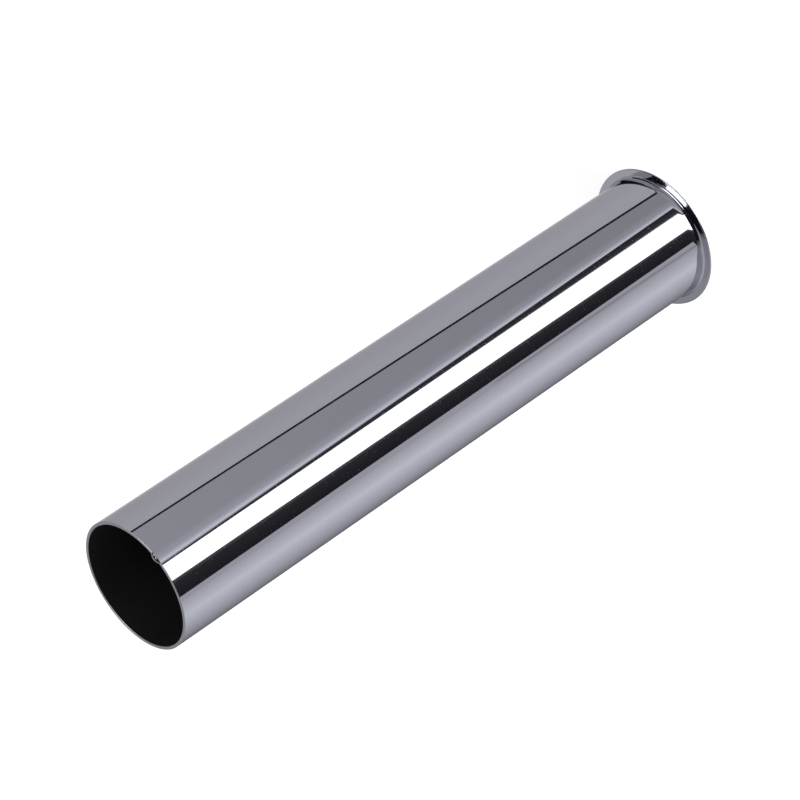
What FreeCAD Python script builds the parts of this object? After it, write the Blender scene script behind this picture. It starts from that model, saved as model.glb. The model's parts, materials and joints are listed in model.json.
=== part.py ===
import FreeCAD, Part
import math
import os

# A flanged drain tailpiece: one drawn tube, flared at its lower end into a flat flange and
# sawn square at its upper end. Millimetres, +Z up the tube, origin at the middle of the
# flange's sealing face.

# Driving dimensions
tube_outside_d = 38.1     # 1-1/2 inch slip-joint tube
wall = 0.9                # 20 gauge sheet
tube_length = 203.2       # 8 inch, from the flange's back to the sawn end
flange_d = 43.8           # fits inside a 1-1/2 inch slip nut
flange_thickness = 0.4    # what the press left of the wall in the flange
ease_radius = 18.0        # outside radius of the slow curve with which the tube begins to open
ease_angle = 5.0          # how far the wall leans out at the end of that curve, degrees
flare_radius = 3.0        # outside radius of the flare that follows it
flare_angle = 20.0        # how far the wall has leaned out where the tight bend begins, degrees
bend_radius = 0.6         # outside radius of the tight bend under the flange's back
rim_back_round = 0.25     # rounding of the rim's edge on the flange's back
rim_face_round = 0.1      # rounding of its edge on the sealing face
saw_edge_break = 0.12     # the file's touch on both edges of the sawn end

burr_width = 3.4          # the tag of metal that the saw left as it broke through
burr_height = 0.5
burr_lean = 25.0          # how far its outer face leans in over the bore, degrees
burr_tip = 0.6            # its thickness along the top
burr_root = 0.3           # how deep it is rooted in the wall below the sawn end
burr_place = -80.8        # where it stands round the tube, degrees from +X

# Values that follow from them
overall_length = tube_length + flange_thickness
outside_r = tube_outside_d / 2
bore_r = outside_r - wall
flange_r = flange_d / 2
ease = math.radians(ease_angle)
lean = math.radians(flare_angle)

# Outside, three arcs run into each other: ease, flare and bend. Where two of them meet, both
# of their centres lie on one line through the meeting point.
ease_shift = ease_radius - flare_radius
flare_shift = flare_radius - bend_radius
ease_centre_r = outside_r + ease_radius
flare_centre_r = ease_centre_r - ease_shift * math.cos(ease)
bend_centre_r = flare_centre_r - flare_shift * math.cos(lean)
bend_centre_z = flange_thickness + bend_radius
flare_centre_z = bend_centre_z + flare_shift * math.sin(lean)
ease_centre_z = flare_centre_z + ease_shift * math.sin(ease)

# Inside, the bend keeps its centre, and one longer arc thickens the wall from there to the bore
bore_bend_radius = bend_radius + flange_thickness
bore_spread = bend_centre_r - bore_r - bore_bend_radius * math.cos(lean)
bore_flare_radius = bore_spread / (1 - math.cos(lean))
bore_flare_centre_r = bore_r + bore_flare_radius
bore_flare_centre_z = bend_centre_z + (bore_flare_radius - bore_bend_radius) * math.sin(lean)

up = FreeCAD.Vector(0, 0, 1)
origin = FreeCAD.Vector(0, 0, 0)


def section_point(radius, height):
    """A point of the wall's section, in the plane through the tube's axis."""
    return FreeCAD.Vector(radius, 0, height)


def on_arc(centre_r, centre_z, radius, angle):
    """A point of an arc that bulges towards the axis, angle 0 where the wall stands upright."""
    return section_point(centre_r - radius * math.cos(angle), centre_z - radius * math.sin(angle))


def arc(centre_r, centre_z, radius, start, end):
    """An arc of the section between two angles, as an edge."""
    middle = (start + end) / 2
    points = [on_arc(centre_r, centre_z, radius, angle) for angle in (start, middle, end)]
    return Part.Arc(*points).toShape()


def rim_arc(centre_z, radius, start):
    """A quarter round of the flange's rim, from the angle start, counted from the radial line."""
    centre = section_point(flange_r - radius, centre_z)
    points = []
    for angle in (start, start + math.pi / 4, start + math.pi / 2):
        points.append(centre + FreeCAD.Vector(math.cos(angle), 0, math.sin(angle)) * radius)
    return Part.Arc(*points).toShape()


def line(start, end):
    """A straight run of the section, as an edge."""
    return Part.LineSegment(start, end).toShape()


def wall_section():
    """The wall from the sealing face, round the rim, up the outside and down the bore."""
    level = math.pi / 2
    rim_low = section_point(flange_r, rim_face_round)
    rim_high = section_point(flange_r, flange_thickness - rim_back_round)
    back_edge = section_point(flange_r - rim_back_round, flange_thickness)
    outside_edges = [
        line(section_point(bend_centre_r, 0), section_point(flange_r - rim_face_round, 0)),
        rim_arc(rim_face_round, rim_face_round, -level),
        line(rim_low, rim_high),
        rim_arc(flange_thickness - rim_back_round, rim_back_round, 0),
        line(back_edge, section_point(bend_centre_r, flange_thickness)),
        arc(bend_centre_r, bend_centre_z, bend_radius, level, lean),
        arc(flare_centre_r, flare_centre_z, flare_radius, lean, ease),
        arc(ease_centre_r, ease_centre_z, ease_radius, ease, 0),
    ]
    shoulder = overall_length - saw_edge_break
    corners = [
        section_point(outside_r, ease_centre_z),
        section_point(outside_r, shoulder),
        section_point(outside_r - saw_edge_break, overall_length),
        section_point(bore_r + saw_edge_break, overall_length),
        section_point(bore_r, shoulder),
        section_point(bore_r, bore_flare_centre_z),
    ]
    tube_edges = [line(start, end) for start, end in zip(corners, corners[1:])]
    bore_edges = [
        arc(bore_flare_centre_r, bore_flare_centre_z, bore_flare_radius, 0, lean),
        arc(bend_centre_r, bend_centre_z, bore_bend_radius, lean, level),
    ]
    return Part.Face(Part.Wire(outside_edges + tube_edges + bore_edges))


def flanged_tube():
    """The tube with its flare, bend and flange, turned round the axis."""
    return wall_section().revolve(origin, up, 360)


def saw_burr():
    """A low arch of metal standing on the sawn end, leaning in over the bore."""
    root_out = outside_r - saw_edge_break
    root_in = bore_r + saw_edge_break
    tip_out = root_out - burr_height * math.tan(math.radians(burr_lean))
    tip_z = overall_length + burr_height
    root_z = overall_length - burr_root
    corners = [
        section_point(root_in, root_z),
        section_point(root_out, root_z),
        section_point(root_out, overall_length),
        section_point(tip_out, tip_z),
        section_point(tip_out - burr_tip, tip_z),
        section_point(root_in, overall_length),
    ]
    ring = Part.Face(Part.makePolygon(corners + corners[:1])).revolve(origin, up, 360)
    # The arch is a circle seen from the side, as wide as the burr where it meets the sawn end
    arch_r = (burr_width ** 2 / 4 + burr_height ** 2) / (2 * burr_height)
    arch_centre = FreeCAD.Vector(0, 0, tip_z - arch_r)
    arch = Part.makeCylinder(arch_r, outside_r, arch_centre, FreeCAD.Vector(1, 0, 0))
    burr = ring.common(arch)
    burr.rotate(origin, up, burr_place)
    return burr


def tailpiece():
    """The whole fitting as one solid."""
    return flanged_tube().fuse(saw_burr()).removeSplitter()


os.makedirs("parts", exist_ok=True)
body = tailpiece()
body.exportStep("parts/tailpiece.step")
print("tailpiece", len(body.Solids), "solid", body.isValid(), "volume", round(body.Volume, 1))
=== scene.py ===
import bmesh
import bpy
import json
import math
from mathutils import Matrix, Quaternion, Vector


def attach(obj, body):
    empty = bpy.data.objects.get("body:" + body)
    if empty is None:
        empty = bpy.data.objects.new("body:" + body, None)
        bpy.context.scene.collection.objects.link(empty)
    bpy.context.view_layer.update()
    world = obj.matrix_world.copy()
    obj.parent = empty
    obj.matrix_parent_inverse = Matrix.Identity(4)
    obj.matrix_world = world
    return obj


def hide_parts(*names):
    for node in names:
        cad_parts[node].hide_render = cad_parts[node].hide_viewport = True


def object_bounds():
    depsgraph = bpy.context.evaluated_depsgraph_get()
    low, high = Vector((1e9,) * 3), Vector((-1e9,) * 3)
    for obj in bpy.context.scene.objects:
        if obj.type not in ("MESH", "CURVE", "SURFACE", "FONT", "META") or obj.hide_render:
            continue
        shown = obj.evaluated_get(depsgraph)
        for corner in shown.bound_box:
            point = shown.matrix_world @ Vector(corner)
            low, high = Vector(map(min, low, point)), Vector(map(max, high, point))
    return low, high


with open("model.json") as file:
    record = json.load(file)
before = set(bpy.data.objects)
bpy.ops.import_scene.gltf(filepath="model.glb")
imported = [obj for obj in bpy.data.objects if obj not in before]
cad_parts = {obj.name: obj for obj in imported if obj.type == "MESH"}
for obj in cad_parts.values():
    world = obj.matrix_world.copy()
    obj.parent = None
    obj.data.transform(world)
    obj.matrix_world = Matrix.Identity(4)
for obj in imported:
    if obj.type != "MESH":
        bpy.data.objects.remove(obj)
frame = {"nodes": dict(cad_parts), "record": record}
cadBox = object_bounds()
mm = 0.001
mounts = {mount["name"]: mount for mount in frame["record"]["mounts"]}
print("frame loaded:", ", ".join(frame["nodes"]))


def linearColour(hexCode):
    # sRGB hex to the linear values that the shaders take
    channels = [int(hexCode[i:i + 2], 16) / 255 for i in (1, 3, 5)]
    return [c / 12.92 if c <= 0.04045 else ((c + 0.055) / 1.055) ** 2.4 for c in channels] + [1.0]


def addNode(tree, kind, inputs=None, **settings):
    # one node with its settings; an input is a plain value or another node's socket
    node = tree.nodes.new(kind)
    for name, value in settings.items():
        setattr(node, name, value)
    for name, value in (inputs or {}).items():
        if isinstance(value, bpy.types.NodeSocket):
            tree.links.new(value, node.inputs[name])
        else:
            node.inputs[name].default_value = value
    return node


def newMaterial(name):
    material = bpy.data.materials.new(name)
    material.use_nodes = True
    material.node_tree.nodes.clear()
    return material, material.node_tree


def addPiece(name, bm):
    mesh = bpy.data.meshes.new(name)
    bm.to_mesh(mesh)
    bm.free()
    piece = bpy.data.objects.new(name, mesh)
    bpy.context.scene.collection.objects.link(piece)
    return piece


# Materials

chrome = {
    "colour": "#C4C6CC",       # decorative chrome, faintly blue beside silver
    "roughness": 0.03,
    "hazeRoughness": 0.30,     # of the fine lines that the polishing mop left
    "hazeMost": 0.08,          # their largest share of the surface
    "hazeFrom": 0.50,          # of the noise, where they begin to show
    "hazeFull": 0.75,          # and where they show most
    "hairLength": 9.0,         # mm round the tube
    "hairPitch": 0.55,         # mm along it; the real ones are finer, this is what the render can show
    "hairHeight": 0.00012,     # mm
    "waveLength": 26.0,        # mm, the long low waves of drawn tube
    "waveHeight": 0.0020,      # mm
    "fleckSpacing": 5.0,       # mm between pits in the plate
    "fleckSize": 0.2,          # mm
    "fleckHaze": 0.9,
    "dustSpacing": 0.9,        # mm between specks of dust
    "dustSize": 0.15,          # mm
    "dustHaze": 0.4,
}


def chromePlate():
    # Chrome plate over polished drawn brass: a near mirror, with the mop's lines round the tube
    material, tree = newMaterial("chromePlate")
    place = addNode(tree, "ShaderNodeTexCoord").outputs["Object"]
    hairs = addNode(tree, "ShaderNodeMapping", {
        "Vector": place,
        "Scale": [1 / mm / chrome["hairLength"]] * 2 + [1 / mm / chrome["hairPitch"]],
    })
    hairNoise = addNode(tree, "ShaderNodeTexNoise", {
        "Vector": hairs.outputs[0], "Scale": 1.0, "Detail": 3.0, "Roughness": 0.6,
    })
    hairShare = addNode(tree, "ShaderNodeMapRange", {
        "Value": hairNoise.outputs["Fac"], "From Min": chrome["hazeFrom"],
        "From Max": chrome["hazeFull"], "To Max": chrome["hazeMost"],
    })
    # pits and dust add their share where it is the greater
    haze = hairShare
    for kind in ("fleck", "dust"):
        specks = addNode(tree, "ShaderNodeTexVoronoi", {
            "Vector": place, "Scale": 1 / mm / chrome[kind + "Spacing"],
        })
        speckShare = addNode(tree, "ShaderNodeMapRange", {
            "Value": specks.outputs["Distance"],
            "From Min": chrome[kind + "Size"] / chrome[kind + "Spacing"],
            "From Max": 0.5 * chrome[kind + "Size"] / chrome[kind + "Spacing"],
            "To Max": chrome[kind + "Haze"],
        })
        haze = addNode(tree, "ShaderNodeMath", {
            0: haze.outputs[0], 1: speckShare.outputs[0],
        }, operation="MAXIMUM")
    waves = addNode(tree, "ShaderNodeTexNoise", {
        "Vector": place, "Scale": 1 / mm / chrome["waveLength"], "Detail": 0.0,
    })
    waveBump = addNode(tree, "ShaderNodeBump", {
        "Height": waves.outputs["Fac"], "Distance": chrome["waveHeight"] * mm, "Strength": 1.0,
    })
    hairBump = addNode(tree, "ShaderNodeBump", {
        "Height": hairNoise.outputs["Fac"], "Distance": chrome["hairHeight"] * mm,
        "Strength": 1.0, "Normal": waveBump.outputs[0],
    })
    mirror = addNode(tree, "ShaderNodeBsdfPrincipled", {
        "Base Color": linearColour(chrome["colour"]), "Metallic": 1.0,
        "Roughness": chrome["roughness"], "Normal": hairBump.outputs[0],
    })
    lines = addNode(tree, "ShaderNodeBsdfPrincipled", {
        "Base Color": linearColour(chrome["colour"]), "Metallic": 1.0,
        "Roughness": chrome["hazeRoughness"], "Normal": hairBump.outputs[0],
    })
    plate = addNode(tree, "ShaderNodeMixShader", {
        0: haze.outputs[0], 1: mirror.outputs[0], 2: lines.outputs[0],
    })
    addNode(tree, "ShaderNodeOutputMaterial", {"Surface": plate.outputs[0]})
    return material


sawnEnd = {
    "colour": "#BEBDC0",
    "roughness": 0.46,
    "cutPitch": 0.35,          # mm between the strokes of the saw
    "cutHeight": 0.004,        # mm
    "cutTurn": 20.0,           # degrees, which way the saw went across
}


def sawnMetal():
    # Sawn and filed wall under a thin flash of plate: pale satin with fine straight strokes
    material, tree = newMaterial("sawnMetal")
    place = addNode(tree, "ShaderNodeTexCoord").outputs["Object"]
    turned = addNode(tree, "ShaderNodeMapping", {
        "Vector": place, "Rotation": [0, 0, math.radians(sawnEnd["cutTurn"])],
        "Scale": [1 / mm / sawnEnd["cutPitch"], 0.1 / mm / sawnEnd["cutPitch"], 1.0],
    })
    strokes = addNode(tree, "ShaderNodeTexNoise", {
        "Vector": turned.outputs[0], "Scale": 1.0, "Detail": 2.0,
    })
    bump = addNode(tree, "ShaderNodeBump", {
        "Height": strokes.outputs["Fac"], "Distance": sawnEnd["cutHeight"] * mm, "Strength": 1.0,
    })
    shader = addNode(tree, "ShaderNodeBsdfPrincipled", {
        "Base Color": linearColour(sawnEnd["colour"]), "Metallic": 1.0,
        "Roughness": sawnEnd["roughness"], "Normal": bump.outputs[0],
    })
    addNode(tree, "ShaderNodeOutputMaterial", {"Surface": shader.outputs[0]})
    return material


burrFace = {
    "dark": "#1D1B1C",
    "light": "#A9A8AB",
    "roughness": 0.45,
    "grain": 0.45,             # mm across the torn grains
    "grainFrom": 0.52,         # of the noise, where a grain begins to be bright
    "grainFull": 0.66,
    "height": 0.05,            # mm
}


def tornMetal():
    # The burr's outer face: dark, with bright grains
    material, tree = newMaterial("tornMetal")
    place = addNode(tree, "ShaderNodeTexCoord").outputs["Object"]
    grains = addNode(tree, "ShaderNodeTexNoise", {
        "Vector": place, "Scale": 1 / mm / burrFace["grain"], "Detail": 1.0,
    })
    share = addNode(tree, "ShaderNodeMapRange", {
        "Value": grains.outputs["Fac"], "From Min": burrFace["grainFrom"],
        "From Max": burrFace["grainFull"],
    })
    colour = addNode(tree, "ShaderNodeMix", {
        "Factor": share.outputs[0],
        "A": linearColour(burrFace["dark"]), "B": linearColour(burrFace["light"]),
    }, data_type="RGBA")
    bump = addNode(tree, "ShaderNodeBump", {
        "Height": grains.outputs["Fac"], "Distance": burrFace["height"] * mm, "Strength": 1.0,
    })
    shader = addNode(tree, "ShaderNodeBsdfPrincipled", {
        "Base Color": colour.outputs[2], "Metallic": 1.0, "Roughness": burrFace["roughness"],
        "Normal": bump.outputs[0],
    })
    addNode(tree, "ShaderNodeOutputMaterial", {"Surface": shader.outputs[0]})
    return material


shadedBoreFilm = {
    # dark and light: near-black painted shade of the bore's hollow, blotched at random
    "dark": "#0D090C",
    "light": "#151013",
    "roughness": 0.6,
    "patch": 6.0,              # mm across the blotches
    "streak": 0.8,             # mm between the drawing marks down the bore
    "streakHeight": 0.01,      # mm
}


def boreMetal():
    # Bare drawn brass where the plating bath didn't reach, matt; its nearly black colour is painted shade
    # of the deep bore
    material, tree = newMaterial("boreMetal")
    place = addNode(tree, "ShaderNodeTexCoord").outputs["Object"]
    blotches = addNode(tree, "ShaderNodeTexNoise", {
        "Vector": place, "Scale": 1 / mm / shadedBoreFilm["patch"], "Detail": 4.0,
    })
    colour = addNode(tree, "ShaderNodeMix", {
        "Factor": blotches.outputs["Fac"],
        "A": linearColour(shadedBoreFilm["dark"]), "B": linearColour(shadedBoreFilm["light"]),
    }, data_type="RGBA")
    streaks = addNode(tree, "ShaderNodeMapping", {
        "Vector": place, "Scale": [1 / mm / shadedBoreFilm["streak"]] * 2 + [0.05 / mm / shadedBoreFilm["streak"]],
    })
    drawn = addNode(tree, "ShaderNodeTexNoise", {"Vector": streaks.outputs[0], "Scale": 1.0})
    bump = addNode(tree, "ShaderNodeBump", {
        "Height": drawn.outputs["Fac"], "Distance": shadedBoreFilm["streakHeight"] * mm, "Strength": 1.0,
    })
    shader = addNode(tree, "ShaderNodeBsdfPrincipled", {
        "Base Color": colour.outputs[2], "Roughness": shadedBoreFilm["roughness"],
        "Normal": bump.outputs[0],
    })
    addNode(tree, "ShaderNodeOutputMaterial", {"Surface": shader.outputs[0]})
    return material


# The tube, turned from its wall's section, all in mm until it is scaled at the end

tube = {
    "outsideR": mounts["slip_end"]["dims"]["r_mm"],
    "wall": 0.9,
    "flangeR": cadBox[1].x / mm,
    "flangeThickness": mounts["nut_face"]["pos_m"][2] / mm,
    "top": cadBox[1].z / mm,   # with the burr
    "easeRadius": 10.0,        # of the arcs that the outside opens in, one after the other
    "flareRadius": 2.5,
    "bendRadius": 0.6,
    "easeAngle": 10.0,         # degrees, the wall's lean where the ease ends and the flare begins
    "flareAngle": 20.0,        # and where the flare ends and the bend begins
    "rimBack": 0.25,           # rounding of the rim's edge on the nut's side
    "rimFace": 0.1,            # and on the washer's side
    "sawBreak": 0.12,          # the file's touch on the sawn end's edges
    "arcStep": 2.5,            # degrees between points on the section's arcs
    "rimStep": 6.0,            # and on the rim's two small rounds
    "quarterSteps": 180,
    "weld": 0.001,             # points nearer to each other than this are one
    "smoothBelow": 30.0,       # degrees between faces, past which an edge shows as sharp
    "burrWidth": 3.4,
    "burrHeight": 0.5,
    "burrLean": 25.0,          # degrees in over the bore
    "burrPlace": -80.8,        # degrees round the tube from +X
}


def drawLine(bm, vert, r, z):
    # carries the section on from its last point in a straight line
    grown = bmesh.ops.extrude_vert_indiv(bm, verts=[vert])["verts"][0]
    grown.co = (r, 0, z)
    return grown


def drawArc(bm, vert, centreR, centreZ, degrees, step=tube["arcStep"]):
    # carries it on in an arc about a centre; positive turns from +Z towards +R
    steps = max(2, round(abs(degrees) / step))
    spun = bmesh.ops.spin(bm, geom=[vert], cent=(centreR, 0, centreZ), axis=(0, 1, 0),
                          angle=math.radians(degrees), steps=steps)
    return spun["geom_last"][0]


def wallSection(bm):
    # from the sealing face's inner edge, round the rim, up the outside and down the bore
    ease, lean = tube["easeAngle"], tube["flareAngle"]
    easeR, easeZ = math.cos(math.radians(ease)), math.sin(math.radians(ease))
    leanR, leanZ = math.cos(math.radians(lean)), math.sin(math.radians(lean))
    easeShift = tube["easeRadius"] - tube["flareRadius"]
    flareShift = tube["flareRadius"] - tube["bendRadius"]
    easeCentreR = tube["outsideR"] + tube["easeRadius"]
    flareCentreR = easeCentreR - easeShift * easeR
    bendCentreR = flareCentreR - flareShift * leanR
    bendCentreZ = tube["flangeThickness"] + tube["bendRadius"]
    flareCentreZ = bendCentreZ + flareShift * leanZ
    easeCentreZ = flareCentreZ + easeShift * easeZ
    # the bore opens in one arc that meets the bend
    boreR = tube["outsideR"] - tube["wall"]
    boreBend = tube["bendRadius"] + tube["flangeThickness"]
    boreFlare = (bendCentreR - boreR - boreBend * leanR) / (1 - leanR)
    boreFlareR = boreR + boreFlare
    boreFlareZ = bendCentreZ + (boreFlare - boreBend) * leanZ
    sawnZ = tube["top"] - tube["burrHeight"]
    face, back = tube["rimFace"], tube["rimBack"]
    backZ = tube["flangeThickness"]
    filed = tube["sawBreak"]
    start = bm.verts.new((bendCentreR, 0, 0))
    vert = drawLine(bm, start, tube["flangeR"] - face, 0)
    vert = drawArc(bm, vert, tube["flangeR"] - face, face, -90, tube["rimStep"])
    vert = drawLine(bm, vert, tube["flangeR"], backZ - back)
    vert = drawArc(bm, vert, tube["flangeR"] - back, backZ - back, -90, tube["rimStep"])
    vert = drawLine(bm, vert, bendCentreR, backZ)
    vert = drawArc(bm, vert, bendCentreR, bendCentreZ, 90 - lean)
    vert = drawArc(bm, vert, flareCentreR, flareCentreZ, lean - ease)
    vert = drawArc(bm, vert, easeCentreR, easeCentreZ, ease)
    vert = drawLine(bm, vert, tube["outsideR"], sawnZ - filed)
    vert = drawLine(bm, vert, tube["outsideR"] - filed, sawnZ)
    vert = drawLine(bm, vert, boreR + filed, sawnZ)
    vert = drawLine(bm, vert, boreR, sawnZ - filed)
    vert = drawLine(bm, vert, boreR, boreFlareZ)
    vert = drawArc(bm, vert, boreFlareR, boreFlareZ, -lean)
    drawArc(bm, vert, bendCentreR, bendCentreZ, lean - 90)
    bmesh.ops.remove_doubles(bm, verts=bm.verts[:], dist=tube["weld"])
    return sawnZ


def turnSection(bm):
    # a quarter turn, mirrored twice into the whole tube
    bmesh.ops.spin(bm, geom=bm.verts[:] + bm.edges[:], cent=(0, 0, 0), axis=(0, 0, 1),
                   angle=math.pi / 2, steps=tube["quarterSteps"])
    for side in ("Y", "X"):
        geom = bm.verts[:] + bm.edges[:] + bm.faces[:]
        bmesh.ops.mirror(bm, geom=geom, axis=side, merge_dist=tube["weld"])
    bmesh.ops.remove_doubles(bm, verts=bm.verts[:], dist=tube["weld"])
    bmesh.ops.recalc_face_normals(bm, faces=bm.faces[:])


def burrShare(place):
    # how high the burr stands at a place round the tube, from 0 beside it to 1 at its middle
    middle = math.radians(tube["burrPlace"])
    turn = (math.atan2(place.y, place.x) - middle + math.pi) % (2 * math.pi) - math.pi
    return max(0, 1 - (turn * 2 * tube["outsideR"] / tube["burrWidth"]) ** 2)


def raiseBurr(bm, sawnZ):
    # the tag that the saw left as it broke through, drawn up from the sawn end and leaning in
    leaning = math.tan(math.radians(tube["burrLean"]))
    for vert in bm.verts:
        if vert.co.z > sawnZ - tube["weld"]:
            lift = tube["burrHeight"] * burrShare(vert.co)
            reach = vert.co.xy.length
            vert.co.xy *= (reach - lift * leaning) / reach
            vert.co.z += lift


def makeTube():
    bm = bmesh.new()
    sawnZ = wallSection(bm)
    turnSection(bm)
    for edge in bm.edges:
        edge.smooth = edge.calc_face_angle(0) < math.radians(tube["smoothBelow"])
    # plate outside, sawn metal on the end, the burr's dark face where it faces out, bare metal in the bore
    # with a near-black painted shade
    for face in bm.faces:
        face.smooth = True
        middle = face.calc_center_median()
        outward = face.normal.xy.dot(middle.xy.normalized())
        if middle.z > sawnZ - tube["sawBreak"]:
            burrOutward = outward > 0.1 and burrShare(middle) > 0
            face.material_index = 2 if burrOutward else 1
        elif outward < -0.001:
            face.material_index = 3
    raiseBurr(bm, sawnZ)
    bmesh.ops.scale(bm, vec=(mm, mm, mm), verts=bm.verts[:])
    piece = addPiece("tailpieceTube", bm)
    for material in (chromePlate(), sawnMetal(), tornMetal(), boreMetal()):
        piece.data.materials.append(material)
    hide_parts("tailpiece")
    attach(piece, "root")
    return piece


tubePiece = makeTube()
print("tube made:", len(tubePiece.data.polygons), "faces")

# What the mirror sees: a grey room and cards far round the tube, unseen by the camera

studio = {
    "roomR": 9.0,              # m
    "roomSides": 64,
    "roomRings": 32,
    "cardR": 8.0,
    "cardSteps": 12,
    "eye": (0, 0, 0.1),        # m, the middle of the tube, which the directions are taken from
}


def direction(azimuth, elevation):
    # azimuth 0 is the camera's side and grows towards -X; degrees
    a, e = math.radians(azimuth), math.radians(elevation)
    return Vector((-math.sin(a) * math.cos(e), -math.cos(a) * math.cos(e), math.sin(e)))


def onlyInMirror(piece):
    piece.visible_camera = False
    piece.visible_diffuse = False
    piece.visible_shadow = False
    piece.visible_transmission = False


def rampNode(tree, share, stops):
    # colours at shares from 0 to 1, with smooth fades between
    ramp = addNode(tree, "ShaderNodeValToRGB", {"Fac": share})
    points = ramp.color_ramp.elements
    for point, stop in zip(points, (stops[0], stops[-1])):
        point.position = stop[0]
        point.color = linearColour(stop[1])
    for position, hexCode in stops[1:-1]:
        points.new(position).color = linearColour(hexCode)
    return ramp.outputs["Color"]


def glow(name, hexCode, strength=1.0):
    material, tree = newMaterial(name)
    light = addNode(tree, "ShaderNodeEmission", {
        "Color": linearColour(hexCode), "Strength": strength,
    })
    addNode(tree, "ShaderNodeOutputMaterial", {"Surface": light.outputs[0]})
    return material


def glowTree(tree, colour, spill=False):
    # a spill only adds its light to what is behind it
    light = addNode(tree, "ShaderNodeEmission", {"Color": colour, "Strength": 1.0})
    if spill:
        clear = addNode(tree, "ShaderNodeBsdfTransparent")
        light = addNode(tree, "ShaderNodeAddShader", {0: light.outputs[0], 1: clear.outputs[0]})
    addNode(tree, "ShaderNodeOutputMaterial", {"Surface": light.outputs[0]})


def glowAcross(name, stops, spill=False):
    # a card lit unevenly: colours at shares of its width
    material, tree = newMaterial(name)
    place = addNode(tree, "ShaderNodeSeparateXYZ", {
        0: addNode(tree, "ShaderNodeTexCoord").outputs["UV"],
    })
    glowTree(tree, rampNode(tree, place.outputs["X"], stops), spill)
    return material


def glowByElevation(name, stops):
    # a card lit unevenly from top to bottom: colours at elevations, in degrees
    material, tree = newMaterial(name)
    place = addNode(tree, "ShaderNodeSeparateXYZ", {
        0: addNode(tree, "ShaderNodeTexCoord").outputs["Object"],
    })
    share = addNode(tree, "ShaderNodeMapRange", {
        "Value": place.outputs["Z"],
        "From Min": studio["eye"][2] - studio["cardR"], "From Max": studio["eye"][2] + studio["cardR"],
    })
    shares = [((1 + math.sin(math.radians(degrees))) / 2, hexCode) for degrees, hexCode in stops]
    glowTree(tree, rampNode(tree, share.outputs[0], shares))
    return material


def glowRound(name, stops):
    # walls lit unevenly round the tube: colours at azimuths, in degrees
    material, tree = newMaterial(name)
    place = addNode(tree, "ShaderNodeSeparateXYZ", {
        0: addNode(tree, "ShaderNodeTexCoord").outputs["Object"],
    })
    towardsCamera = addNode(tree, "ShaderNodeMath", {0: place.outputs["Y"], 1: -1.0}, operation="MULTIPLY")
    sideways = addNode(tree, "ShaderNodeMath", {0: place.outputs["X"], 1: -1.0}, operation="MULTIPLY")
    azimuth = addNode(tree, "ShaderNodeMath", {
        0: sideways.outputs[0], 1: towardsCamera.outputs[0],
    }, operation="ARCTAN2")
    share = addNode(tree, "ShaderNodeMapRange", {
        "Value": azimuth.outputs[0], "From Min": -math.pi, "From Max": math.pi,
    })
    shares = [((degrees + 180) / 360, hexCode) for degrees, hexCode in stops]
    glowTree(tree, rampNode(tree, share.outputs[0], shares))
    return material


def addRoom(material):
    bm = bmesh.new()
    bmesh.ops.create_uvsphere(bm, u_segments=studio["roomSides"], v_segments=studio["roomRings"],
                              radius=studio["roomR"])
    bmesh.ops.translate(bm, vec=studio["eye"], verts=bm.verts[:])
    room = addPiece("studioRoom", bm)
    room.data.materials.append(material)
    onlyInMirror(room)


def addCard(name, corners, material, nearer=0.0):
    # a bowed card, its edges seen straight, from corners given as directions: low left, low
    # right, top right, top left; nearer, in m, puts it before the others
    bm = bmesh.new()
    steps = studio["cardSteps"]
    bmesh.ops.create_grid(bm, x_segments=steps, y_segments=steps, size=0.5)
    across = bm.loops.layers.uv.new("across")
    for face in bm.faces:
        for loop in face.loops:
            loop[across].uv = (loop.vert.co.x + 0.5, loop.vert.co.y + 0.5)
    lowLeft, lowRight, topRight, topLeft = [direction(*corner) for corner in corners]
    reach = studio["cardR"] - nearer
    for vert in bm.verts:
        u, v = vert.co.x + 0.5, vert.co.y + 0.5
        towards = lowLeft.lerp(lowRight, u).lerp(topLeft.lerp(topRight, u), v).normalized()
        vert.co = Vector(studio["eye"]) + reach * towards
    card = addPiece(name, bm)
    card.data.materials.append(material)
    onlyInMirror(card)


walls = {
    "plain": "#C4C2C8",
    "corner": "#B0AEB4",       # the dim corner at the back on the left
    "key": "#ECECF4",          # where the key lamp lights the wall on the right
    "beside": "#A0A0A8",       # and where its light has fallen off
    "back": "#747278",
}
addRoom(glowRound("roomWalls", [
    (-160, walls["plain"]),
    (-150, walls["corner"]),
    (-90, walls["plain"]),
    (60, walls["plain"]),
    (90, walls["key"]),
    (140, walls["beside"]),
    (160, walls["back"]),
]))
cards = {
    "black": "#1C1A1E",
    "grey": "#B0AEB4",         # the big grey card
    "greyFoot": "#A09EA4",     # its foot, farther from the light
    "board": "#BEBCC4",        # paler board on the right
    "boardSeam": "#A6A4AA",
    "under": "#555555",
    "wallLight": "#CCCAD0",    # the walls behind on the right
    "wallMiddle": "#B8B6BC",
    "wallBack": "#A4A2A8",
    "wallEdge": "#444448",
    "lamp": "#FFFFFF",
    "stripPower": 2.2,         # of the softboxes, in times of white
    "topPower": 3.4,
    "topFootPower": 1.8,
}
flagStops = [(0.0, "#606064"), (0.2, "#343236"), (1.0, "#242228")]
wedgeStops = [(0.0, "#2A282C"), (1.0, "#444246")]
spillStops = [(0.0, "#000000"), (0.6, "#585C64"), (1.0, "#C0C4C8")]
wallStops = [(0.0, cards["wallEdge"]), (0.25, cards["wallMiddle"]), (1.0, cards["wallLight"])]
backStops = [(0.0, cards["wallLight"]), (1.0, cards["wallBack"])]

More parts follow.
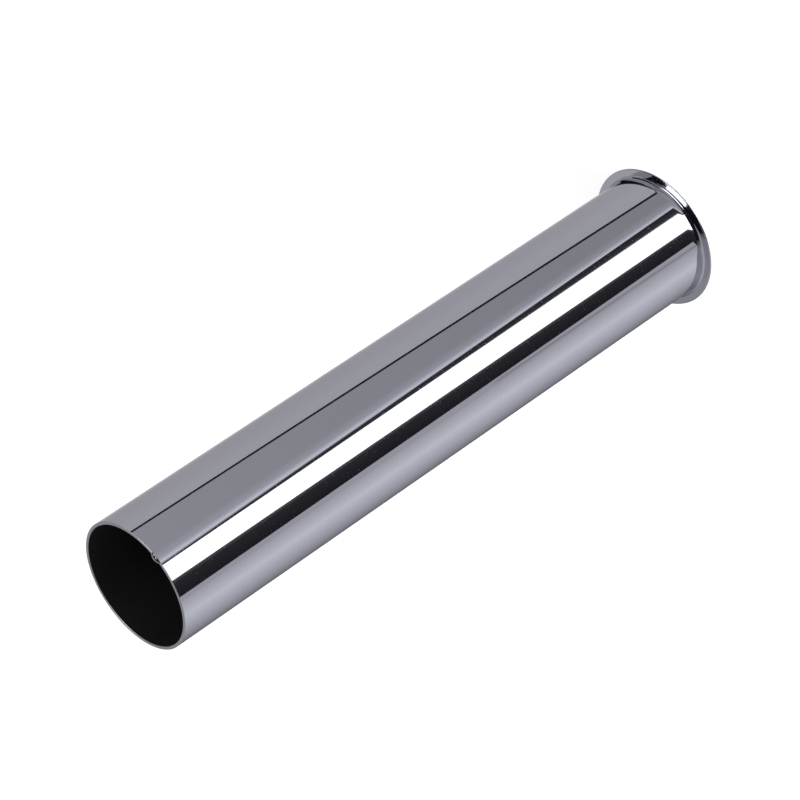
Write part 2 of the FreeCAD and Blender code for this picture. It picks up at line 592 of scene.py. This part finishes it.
black = glow("blackFlag", cards["black"])
softbox = glow("softbox", cards["lamp"], cards["stripPower"])
greyCard = glowByElevation("greyCard", [(-38, cards["greyFoot"]), (-26, cards["grey"])])
spill = glowAcross("spill", spillStops, spill=True)
wedge = glowAcross("wedge", wedgeStops)
sideFlag = glowAcross("sideFlag", flagStops)
flagHead = glowAcross("flagHead", flagStops)
lip = glow("lip", cards["board"])
lipHead = glow("lipHead", cards["board"])
seam = glow("seam", cards["boardSeam"])
topSoftbox = glow("topSoftbox", cards["lamp"], cards["topPower"])
softboxFoot = glow("softboxFoot", cards["lamp"], cards["topFootPower"])
wallFade = glowAcross("wallFade", wallStops)
backFade = glowAcross("backFade", backStops)
underside = glow("underside", cards["under"])

# What the straight tube mirrors: a grey card with a slit in it, a strip light between two black
# flags, and paler board beyond
addCard("middleCard", [(-44.6, -46), (0, -46), (-8, 40), (-101, 0)], greyCard)
addCard("cardSpill", [(-57, -46), (-42.8, -46), (-4.2, -24), (-24, -24)], spill, nearer=0.1)
addCard("slit", [(-47.5, -46), (-42, -46), (-79.6, -24), (-83.3, -24)], black, nearer=0.2)
addCard("slitHead", [(-83.3, -24), (-79.6, -24), (-79.3, -10), (-94, -10)], black, nearer=0.2)
addCard("stripLight", [(-26.4, -55), (15.3, -55), (25.6, -26), (-2.5, -26)], softbox, nearer=0.3)
addCard("stripHead", [(-2.5, -26), (25.6, -26), (26, 0), (-3, 0)], softbox, nearer=0.3)
addCard("wedgeFlag", [(-48.1, -46), (-19.3, -46), (-2.5, -26), (-4.3, -26)], wedge, nearer=0.4)
addCard("wedgeHead", [(-4.3, -26), (-2.5, -26), (-3, 2), (-6, 2)], black, nearer=0.4)
addCard("wedgeFoot", [(-60, -60), (-26, -60), (-19.3, -46), (-48.1, -46)], black, nearer=0.4)
addCard("sideFlag", [(17, -50), (31.7, -50), (55.6, -26), (25.6, -26)], sideFlag, nearer=0.4)
addCard("sideFlagHead", [(25.6, -26), (55.6, -26), (52, 0), (26, 0)], flagHead, nearer=0.4)
addCard("lipCard", [(37.5, -46), (57.5, -46), (63, -26), (55.6, -26)], lip, nearer=0.1)
addCard("lipHead", [(55.6, -26), (63, -26), (60, 0), (52, 0)], lipHead, nearer=0.1)
addCard("lipSeam", [(54.5, -44), (57.5, -44), (57.5, -33.5), (53, -33.5)], seam, nearer=0.2)

# What the flare, the bend and the flange's back turn to: flags in front, overhead and on the
# left, a softbox above, and the walls on the right
addCard("frontFlag", [(-9, -20), (45, -20), (45, 45), (-9, 45)], black, nearer=0.45)
addCard("frontWing", [(-34, -8), (-9, -19), (-9, 5), (-34, -2)], black, nearer=0.45)
addCard("overheadFlag", [(-12, 38), (46, 38), (60, 76), (-10, 76)], black, nearer=0.45)
addCard("roofFlag", [(-110, 52), (-15, 52), (50, 73), (150, 80)], black, nearer=0.44)
addCard("roofLeft", [(-160, 47), (-115, 47), (-60, 80), (170, 80)], black, nearer=0.44)
addCard("topLight", [(-65, 38), (-15, 38), (-15, 58), (-79, 60)], topSoftbox, nearer=0.5)
addCard("topLightFoot", [(-60, 25), (-15, 25), (-15, 38), (-65, 38)], softboxFoot, nearer=0.5)
addCard("leftFlag", [(-101, 37), (-73, 37), (-72, 50), (-135, 50)], black, nearer=0.3)
addCard("lowFlag", [(-112, -6), (-60, -6), (-61, 18), (-115, 18)], black, nearer=0.3)
addCard("creaseFlag", [(-120, 31.5), (-92, 30.5), (-92, 36.5), (-122, 37)], black, nearer=0.3)
addCard("creaseFlagEnd", [(-147, 30), (-120, 31.5), (-122, 37), (-150, 36)], black, nearer=0.3)
addCard("creaseLine", [(-92, 32), (-66, 28), (-66, 29.5), (-92, 35)], black, nearer=0.3)
addCard("rightWall", [(44, -14), (112, -14), (130, 74), (52, 74)], wallFade, nearer=0.42)
addCard("backWall", [(112, 32), (179, 32), (179, 74), (130, 74)], backFade, nearer=0.42)

# And what the tube mirrors from straight above
addCard("underCard", [(-135, -50), (-45, -50), (45, -50), (135, -50)], underside)
print("studio set")

# Floor, lamp and world

floor = {
    "size": 14.0,              # m
    "paper": "#E6E6E6",
    "glow": "#FFFFFF",
    "ownLight": 0.62,          # of white, so that the lit floor is white and a shadow still shows
}


def floorMaterial():
    # pale seamless paper; the mirror sees the studio in its place
    material, tree = newMaterial("seamlessPaper")
    light = addNode(tree, "ShaderNodeEmission", {
        "Color": linearColour(floor["glow"]), "Strength": floor["ownLight"],
    })
    paper = addNode(tree, "ShaderNodeBsdfDiffuse", {"Color": linearColour(floor["paper"])})
    seen = addNode(tree, "ShaderNodeAddShader", {0: light.outputs[0], 1: paper.outputs[0]})
    path = addNode(tree, "ShaderNodeLightPath")
    choice = addNode(tree, "ShaderNodeMixShader", {
        0: path.outputs["Is Camera Ray"], 1: paper.outputs[0], 2: seen.outputs[0],
    })
    addNode(tree, "ShaderNodeOutputMaterial", {"Surface": choice.outputs[0]})
    return material


def addFloor():
    bm = bmesh.new()
    bmesh.ops.create_grid(bm, x_segments=1, y_segments=1, size=floor["size"] / 2)
    piece = addPiece("floor", bm)
    piece.data.materials.append(floorMaterial())
    piece.visible_glossy = False


softLamp = {
    "place": (-0.9, -0.6, 1.4),    # m
    "size": 1.1,               # m across
    "power": 9.0,              # W
}


def addLamp():
    lamp = bpy.data.lights.new("softLamp", "AREA")
    lamp.shape = "DISK"
    lamp.size = softLamp["size"]
    lamp.energy = softLamp["power"]
    stand = bpy.data.objects.new("softLamp", lamp)
    stand.location = softLamp["place"]
    stand.rotation_mode = "QUATERNION"
    stand.rotation_quaternion = (-Vector(softLamp["place"])).to_track_quat("-Z", "Y")
    stand.visible_glossy = False
    bpy.context.scene.collection.objects.link(stand)


surroundings = {
    "colour": "#FFFFFF",
    "shown": 1.0,              # to the eye, to metal and to glass
    "shed": 0.55,              # the softer white for the light that it sheds
}


def setWorld():
    world = bpy.data.worlds.new("studioWorld")
    bpy.context.scene.world = world
    world.use_nodes = True
    tree = world.node_tree
    tree.nodes.clear()
    path = addNode(tree, "ShaderNodeLightPath")
    eyeOrGlossy = addNode(tree, "ShaderNodeMath", {
        0: path.outputs["Is Camera Ray"], 1: path.outputs["Is Glossy Ray"],
    }, operation="MAXIMUM")
    shown = addNode(tree, "ShaderNodeMath", {
        0: eyeOrGlossy.outputs[0], 1: path.outputs["Is Transmission Ray"],
    }, operation="MAXIMUM")
    shed = addNode(tree, "ShaderNodeBackground", {
        "Color": linearColour(surroundings["colour"]), "Strength": surroundings["shed"],
    })
    white = addNode(tree, "ShaderNodeBackground", {
        "Color": linearColour(surroundings["colour"]), "Strength": surroundings["shown"],
    })
    choice = addNode(tree, "ShaderNodeMixShader", {
        0: shown.outputs[0], 1: shed.outputs[0], 2: white.outputs[0],
    })
    addNode(tree, "ShaderNodeOutputWorld", {"Surface": choice.outputs[0]})


addFloor()
addLamp()
setWorld()
print("floor, lamp and world set")

# Camera

view = {
    "place": (0.0, -749.59, 583.72),   # mm
    "target": (1.74, 0.0, 104.46),     # mm
    "roll": -123.89,                   # degrees; the photograph lays the tube across the frame
    "lens": 145.97,                    # mm
    "sensor": 36.0,                    # mm
    "nearest": 0.01,                   # m, what it sees lies between these
    "farthest": 30.0,
}


def addCamera():
    camera = bpy.data.cameras.new("camera")
    camera.sensor_width = view["sensor"]
    camera.lens = view["lens"]
    camera.clip_start = view["nearest"]
    camera.clip_end = view["farthest"]
    holder = bpy.data.objects.new("camera", camera)
    place, target = Vector(view["place"]) * mm, Vector(view["target"]) * mm
    holder.location = place
    holder.rotation_mode = "QUATERNION"
    level = (target - place).to_track_quat("-Z", "Y")
    holder.rotation_quaternion = level @ Quaternion((0, 0, 1), math.radians(view["roll"]))
    bpy.context.scene.collection.objects.link(holder)
    bpy.context.scene.camera = holder


addCamera()
bpy.context.scene.view_settings.view_transform = "Standard"
print("camera set")
